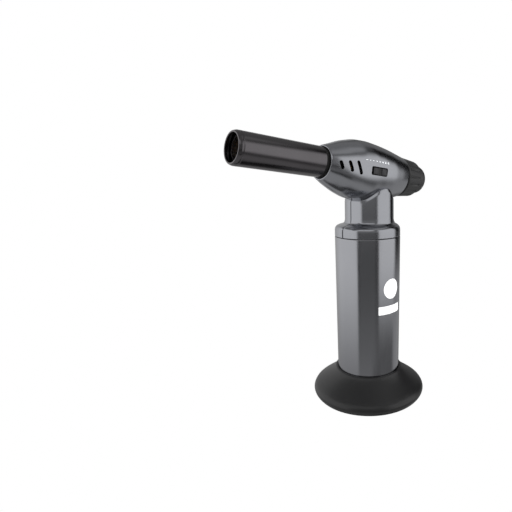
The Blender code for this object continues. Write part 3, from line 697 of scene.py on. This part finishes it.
# ---------------------------------------------------------------- dial and button
LUGS = 16
GROOVE_DEPTH, GROOVE_POWER = 0.9, 5
GROOVE_FRONT, GROOVE_REAR, GROOVE_RUNOUT = -40.2, -55.0, 0.5
DIAL_FRONT, DIAL_REAR = -37.9, -57.0
DIAL_RADIUS, DIAL_RADIUS_REAR = 19.1, 17.6
TAPER_FRONT, TAPER_REAR = DIAL_FRONT - 1.4, DIAL_REAR + 1.0
RIM_INSIDE = 17.0  # points further out than this belong to the rim
DIAL_BORE, HUB_RADIUS = 15.4, 5.4
HUB_BORE, HUB_FRONT = 3.2, -34.0


def grooved(radius, station, angle):
    """Narrow grooves between the lugs on the dial's rim, run out smoothly before both of its ends."""
    if radius < RIM_INSIDE:
        return radius
    groove = (0.5 + 0.5 * math.cos(LUGS * angle)) ** GROOVE_POWER
    past_rear = soft_step(station, GROOVE_REAR - GROOVE_RUNOUT, GROOVE_REAR + GROOVE_RUNOUT)
    past_front = soft_step(station, GROOVE_FRONT - GROOVE_RUNOUT, GROOVE_FRONT + GROOVE_RUNOUT)
    run = past_rear * (1 - past_front)
    return radius - GROOVE_DEPTH * run * groove


def on_taper(station):
    """Radius of the dial's tapered rim."""
    part = (station - TAPER_FRONT) / (TAPER_REAR - TAPER_FRONT)
    return DIAL_RADIUS + (DIAL_RADIUS_REAR - DIAL_RADIUS) * part


# The rows stand close together where the grooves run out.
rim = [(on_taper(station), station, 0) for station in (-39.8, -40.2, -40.6, -54.5, -54.9, -55.4)]
turned(
    "dial",
    rounded(
        [
            (18.3, DIAL_FRONT, 0.3), (DIAL_RADIUS, DIAL_FRONT - 1.0, 0.5), *rim,
            (17.5, DIAL_REAR + 0.3, 0.7), (16.7, DIAL_REAR, 0.4), (15.2, DIAL_REAR, 0.3), (15.2, -46.0, 0),
            (HUB_BORE, -46.0, 0), (HUB_BORE, HUB_FRONT, 0), (14.0, HUB_FRONT, 0), (14.0, -36.0, 0),
            (HUB_RADIUS, -36.0, 0), (HUB_RADIUS, -43.4, 0), (DIAL_BORE, -43.4, 0), (DIAL_BORE, DIAL_FRONT, 0),
        ]
    ),
    KNOB_PLASTIC, knob_matrix, "dial", ["dial_ring"], "X", LUGS * 20, grooved,
)
BUTTON_SKIRT = -53.0
STEM_RADIUS, STEM_FRONT = 2.7, -36.4
turned(
    "button",
    rounded(
        [
            (0, -70.4, 0), (7.2, -70.2, 2.0), (12.9, -68.9, 2.4), (14.2, -64.4, 1.8),
            (14.3, BUTTON_SKIRT, 0.2), (12.9, BUTTON_SKIRT, 0), (12.7, -62.0, 0), (STEM_RADIUS, -63.6, 0),
            (STEM_RADIUS, STEM_FRONT, 0), (0, STEM_FRONT, 0),
        ]
    ),
    KNOB_PLASTIC, knob_matrix, "button", ["button_cap"], "X",
)

# ---------------------------------------------------------------- air slider
SLIDER_REST, SLIDER_HEIGHT = 6.7, -3.1


def slider_block(middle, half_length, half_width, y_low, y_high, radius):
    """A rounded block, its middle at a station and at the slider's height."""
    low = (middle - half_length, y_low, SLIDER_HEIGHT - half_width)
    high = (middle + half_length, y_high, SLIDER_HEIGHT + half_width)
    return soft_block(low, high, radius, head_matrix)


PAD_LENGTH, PADS_END = 6.3, 8.1
PAD_GROOVES = (-1.5, 0.0, 1.5)
# half length, half width, low and high Y, rounding
THUMB = (8.2, 3.3, 18.6, 23.9, 0.5)
PLATE = (9.4, 4.6, 17.4, 19.2, 0.3)
PAD = (PAD_LENGTH / 2, 3.1, 22.0, 24.7, 1.0)
PAD_GROOVE = (0.25, 4, 24.35, 26, 0.1)
ARM_LOW, ARM_HIGH, ARM_ROUND = (12.8, 6.35, -1.1), (15.6, 18.4, 1.1), 0.2

# A thumb piece through the window, a plate behind it, and an arm that reaches in to the shutter
slider = slider_block(SLIDER_REST, *THUMB)
slider.name = "slider_thumb"
combine(slider, slider_block(SLIDER_REST, *PLATE), "UNION")
combine(slider, soft_block(ARM_LOW, ARM_HIGH, ARM_ROUND, head_matrix), "UNION")
for pad_middle in (SLIDER_REST - PADS_END + PAD_LENGTH / 2, SLIDER_REST + PADS_END - PAD_LENGTH / 2):
    pad = slider_block(pad_middle, *PAD)
    for groove in PAD_GROOVES:
        combine(pad, slider_block(pad_middle + groove, *PAD_GROOVE))
    combine(slider, pad, "UNION")
slider.data.materials.clear()
slider.data.materials.append(SLIDER_PLASTIC)
slider.data.materials.append(PAD_PLASTIC)
PAD_FOOT, PAD_HALF_WIDTH = 23.95, 3.05
for face in slider.data.polygons:
    middle = to_head @ face.center / MM
    on_pad = middle.y > PAD_FOOT and abs(middle.z - SLIDER_HEIGHT) < PAD_HALF_WIDTH
    face.material_index = int(on_pad)
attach(slider, "slider")
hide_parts("air_slider")


def on_head(place, rise):
    """A point over the head's +Y side: the place is the station and the height."""
    station, height = place
    up, down, half = head_sizes(station, 0.0)
    reach = up if height > 0 else down
    return (station, half * math.sqrt(1 - (height / reach) ** 2) + rise, height)


# A minus, a plus and growing dots between them are printed over the slider.
SCALE_HEIGHT = 5.2
SCALE_START, SCALE_PITCH, SCALE_DOTS = 22.8, -3.6, 6
PRINT_GREY = finish_of("print_grey", (0.62, 0.64, 0.66), 0.0, 0.4, 0.04, 0.02, 1800.0)
DOT_START, DOT_GROWTH = 0.35, 0.08
MINUS_LENGTH, MINUS_WIDTH = 0.9, 0.25  # halves
marks = [
    circle((SCALE_START + SCALE_PITCH * number, SCALE_HEIGHT), DOT_START + DOT_GROWTH * number, 20)
    for number in range(1, SCALE_DOTS + 1)
]
minus_low = (SCALE_START - MINUS_LENGTH, SCALE_HEIGHT - MINUS_WIDTH)
minus_high = (SCALE_START + MINUS_LENGTH, SCALE_HEIGHT + MINUS_WIDTH)
marks.append(rectangle(minus_low, minus_high, 4))
plus_station = SCALE_START + (SCALE_DOTS + 1) * SCALE_PITCH
plus = [(1.0, 0.3), (0.3, 0.3), (0.3, 1.0), (-0.3, 1.0), (-0.3, 0.3), (-1.0, 0.3)]
plus += [(-along, -height) for along, height in plus]
marks.append([(plus_station + along, SCALE_HEIGHT + height) for along, height in plus])
printed("slider_marks", marks, on_head, PRINT_GREY, head_matrix, "torch", 1)

# ---------------------------------------------------------------- carried-over nodes
CARRIED = {
    "base_pad": RUBBER,
    "tank_bottom_cap": BASE_PLASTIC,
    "fuel_tank": WHITE_PLASTIC,
    "tank_lid": WHITE_PLASTIC,
    "lid_seal": RUBBER,
    "fuel_wick": FELT,
    "fill_valve_body": BRASS,
    "fill_valve_stem": BRASS,
    "fill_valve_seal": RUBBER,
    "fill_valve_spring": STEEL,
    "outlet_valve_body": BRASS,
    "outlet_valve_nut": BRASS,
    "gas_hose": RUBBER,
    "hose_ferrule_lower": STEEL,
    "hose_ferrule_upper": STEEL,
    "neck_screw_front": STEEL,
    "neck_screw_rear": STEEL,
    "head_screw_front": STEEL,
    "head_screw_rear": STEEL,
    "burner_liner": LINER_STEEL,
    "flame_holder": BRASS,
    "mixing_tube": BRASS,
    "gas_jet": BRASS,
    "electrode_insulator": CERAMIC,
    "electrode_wire": STEEL,
    "igniter_lead": LEAD_RED,
    "gas_valve_body": BRASS,
    "valve_needle": STEEL,
    "piezo_body": SLIDER_PLASTIC,
    "piezo_plunger": WHITE_PLASTIC,
    "air_shutter": STEEL,
}
for node, material in CARRIED.items():
    mesh = frame["nodes"][node].data
    mesh.materials.clear()
    mesh.materials.append(material)

# ---------------------------------------------------------------- studio
scene = bpy.context.scene


def stage_mesh(name, points, faces, material):
    """A mesh that belongs to the studio and not to the object, in metres."""
    mesh = bpy.data.meshes.new(name)
    mesh.from_pydata(points, [], faces)
    mesh.materials.append(material)
    made = bpy.data.objects.new(name, mesh)
    scene.collection.objects.link(made)
    return made


def glow(name):
    """A plain emitting material, and its emission node."""
    made = bpy.data.materials.new(name)
    made.use_nodes = True
    nodes, links = made.node_tree.nodes, made.node_tree.links
    nodes.clear()
    emission = nodes.new("ShaderNodeEmission")
    links.new(emission.outputs["Emission"], nodes.new("ShaderNodeOutputMaterial").inputs["Surface"])
    return made, emission


floor_material, _ = glow("white_floor")
FLOOR_HALF = 6.0
floor_corners = [(FLOOR_HALF * x, FLOOR_HALF * y, 0) for x, y in ((-1, -1), (1, -1), (1, 1), (-1, 1))]
floor = stage_mesh("floor", floor_corners, [(0, 1, 2, 3)], floor_material)
floor.visible_glossy = False

# The surroundings are seen by reflections only: a softbox on each side of the camera with a dark gap between
# them, dim walls behind, a grey ceiling, and a table that fades in below. Angles are in degrees, azimuths
# counted from the camera, positive to the right of the picture.
SURROUND_RADIUS = 1.4
SURROUND_HEIGHT = 0.2
CAMERA_AZIMUTH = math.degrees(math.atan2(CAMERA_PLACE[1], CAMERA_PLACE[0]))
SURROUND_STEP, SURROUND_TOP = 1.5, 88.5


def between(value, low, high, soft):
    """1 inside a span of angles and 0 outside it, with soft edges."""
    return soft_step(value, low - soft, low + soft) * (1 - soft_step(value, high - soft, high + soft))


def surroundings(azimuth, elevation):
    """Brightness seen in a direction."""
    side, below = abs(azimuth), -elevation
    ceiling = 0.28 + 0.2 * between(azimuth, 36, 114, 12) * (1 - soft_step(elevation, 60, 82))
    # A black flag stands behind the softbox on the right.
    wall = 0.13 + 0.09 * between(side, 140, 172, 8)
    wall += (0.005 - wall) * between(azimuth, 108, 139, 7) * between(elevation, -11, 47, 4)
    level = wall + (ceiling - wall) * soft_step(elevation, 42, 56)
    left = soft_step(-azimuth, 33.5, 36.5) * (1 - 0.65 * soft_step(-azimuth, 105, 165))
    level += (1.0 - level) * left * (1 - soft_step(elevation, 26, 46))
    right = soft_step(azimuth, 36.5, 40.5) * (1 - soft_step(azimuth, 103, 116))
    level += (1.0 - level) * right * (1 - soft_step(elevation, 28, 47))
    # The gap round the camera is darkest along both edges, and a bright panel closes it above.
    gap_level = 0.14 - 0.06 * between(side, 26, 40, 2) + 0.12 * soft_step(elevation, -9, -4)
    level += (gap_level - level) * between(azimuth, -35, 38, 1.5) * (1 - soft_step(elevation, 20, 30))
    level += (0.85 - level) * between(azimuth, -38, 26, 4) * between(elevation, 24, 46, 4)
    # The table fades in below, darker on the right. It has a brighter strip at the back right and a dark spot
    # in front, and it is dark again under the back and low on the right.
    table = 0.16 + 0.14 * (1 - soft_step(azimuth, 10, 50))
    table += (0.42 - table) * soft_step(below, 30, 47)
    level += (table - level) * soft_step(below, 12, 39 - 10 * soft_step(azimuth, 0, 45))
    level += (0.42 - level) * between(azimuth, 103, 150, 8) * between(elevation, -38, -15, 4)
    level += (0.04 - level) * between(azimuth, 14, 44, 6) * between(elevation, -45, -34, 3)
    level += (0.06 - level) * soft_step(side, 108, 128) * soft_step(below, 52, 62)
    return level * (1 - 0.55 * soft_step(below, 62, 82) * soft_step(azimuth, 15, 60))


surround_points, surround_values, surround_faces = [], [], []
azimuths = np.arange(-180.0, 180.0, SURROUND_STEP)
elevations = np.arange(-SURROUND_TOP, SURROUND_TOP + 0.1, SURROUND_STEP)
for elevation in elevations:
    for azimuth in azimuths:
        turn, rise = math.radians(azimuth + CAMERA_AZIMUTH), math.radians(elevation)
        surround_points.append(
            (
                SURROUND_RADIUS * math.cos(turn) * math.cos(rise),
                SURROUND_RADIUS * math.sin(turn) * math.cos(rise),
                SURROUND_HEIGHT + SURROUND_RADIUS * math.sin(rise),
            )
        )
        surround_values.append(surroundings(azimuth, elevation))
count = len(azimuths)
for ring in range(len(elevations) - 1):
    for step in range(count):
        after = (step + 1) % count
        here, above = ring * count, (ring + 1) * count
        surround_faces.append((here + step, here + after, above + after, above + step))

surround_material, emission = glow("surround_light")
brightness = surround_material.node_tree.nodes.new("ShaderNodeAttribute")
brightness.attribute_name = "brightness"
surround_material.node_tree.links.new(brightness.outputs["Fac"], emission.inputs["Strength"])
surround = stage_mesh("surroundings", surround_points, surround_faces, surround_material)
layer = surround.data.attributes.new("brightness", "FLOAT", "POINT")
layer.data.foreach_set("value", np.array(surround_values, np.float32))
surround.visible_camera = False
surround.visible_diffuse = False
surround.visible_shadow = False
surround.visible_transmission = False
surround.visible_volume_scatter = False

world = bpy.data.worlds.new("studio")
world.use_nodes = True
world.node_tree.nodes["Background"].inputs["Color"].default_value = (1.0, 1.0, 1.0, 1)
world.node_tree.nodes["Background"].inputs["Strength"].default_value = 1.0
scene.world = world


LIGHT_TARGET = Vector((0, 0, 0.12))


def soft_light(name, azimuth, elevation, distance, size, power):
    """A square soft light round the object, its azimuth in degrees from the camera."""
    data = bpy.data.lights.new(name, "AREA")
    data.shape = "SQUARE"
    data.size = size
    data.energy = power
    made = bpy.data.objects.new(name, data)
    turn = math.radians(CAMERA_AZIMUTH + azimuth)
    rise = math.radians(elevation)
    made.location = LIGHT_TARGET + distance * Vector(
        (math.cos(turn) * math.cos(rise), math.sin(turn) * math.cos(rise), math.sin(rise))
    )
    made.rotation_mode = "QUATERNION"
    made.rotation_quaternion = (LIGHT_TARGET - made.location).to_track_quat("-Z", "Y")
    made.visible_glossy = False
    made.visible_camera = False
    scene.collection.objects.link(made)


soft_light("key_left", -60, 45, 1.4, 0.8, 14.0)
soft_light("fill_right", 65, 35, 1.4, 0.8, 18.0)
soft_light("top", 170, 75, 1.5, 1.0, 8.0)

# ---------------------------------------------------------------- camera
camera_data = bpy.data.cameras.new("camera")
camera_data.lens = CAMERA_LENS
camera_data.sensor_width = 36.0
camera_data.shift_x, camera_data.shift_y = CAMERA_SHIFT
camera_data.clip_start = 0.01
camera = bpy.data.objects.new("camera", camera_data)
camera.location = [value * MM for value in CAMERA_PLACE]
camera.rotation_euler = [math.radians(value) for value in CAMERA_TURN]
scene.collection.objects.link(camera)
scene.camera = camera
scene.view_settings.view_transform = "Standard"
